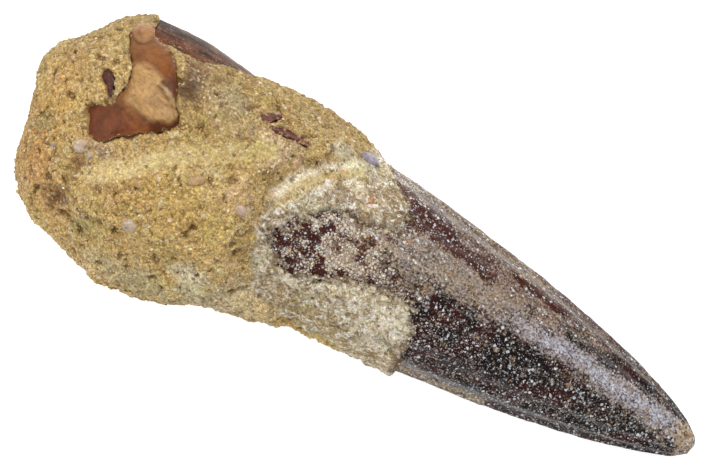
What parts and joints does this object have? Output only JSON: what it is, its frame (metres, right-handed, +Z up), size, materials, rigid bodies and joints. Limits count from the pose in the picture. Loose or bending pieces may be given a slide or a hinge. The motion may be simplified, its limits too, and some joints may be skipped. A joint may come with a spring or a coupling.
{
  "type": "fossil spinosaurus tooth",
  "caption": "Long conical fossil reptile tooth lying on its side: glossy dark fluted crown, its root held in a lump of coarse sandstone with broken bone and pebbles set in it.",
  "frame": {"origin": "on the resting plane, under the middle of the bounding box", "axes": "+X along the tooth from the broken root to the tip, +Z up with the tooth lying on its side, +Y across it"},
  "size_m": [0.0908, 0.0316, 0.0275],
  "materials": {
    "tooth": "glossy fossil enamel, dark brown with pale specks",
    "matrix": "rough coarse sandstone",
    "amber_fragment": "smooth semi-gloss fossil dentine",
    "purple_fragment": "semi-gloss fossil bone",
    "upper_sliver": "semi-gloss fossil bone",
    "lower_sliver": "semi-gloss fossil bone",
    "quartz_pebble": "worn glossy quartz",
    "grey_pebble": "worn glossy quartz",
    "green_pebble": "worn glossy stone",
    "pink_pebble": "worn glossy quartz",
    "lilac_pebble": "worn glossy quartz"
  },
  "bodies": {
    "root": {"tooth": "tooth", "matrix": "matrix", "amber_fragment": "amber_fragment", "purple_fragment": "purple_fragment", "upper_sliver": "upper_sliver", "lower_sliver": "lower_sliver", "quartz_pebble": "quartz_pebble", "grey_pebble": "grey_pebble", "green_pebble": "green_pebble", "pink_pebble": "pink_pebble", "lilac_pebble": "lilac_pebble"}
  },
  "joints": []
}
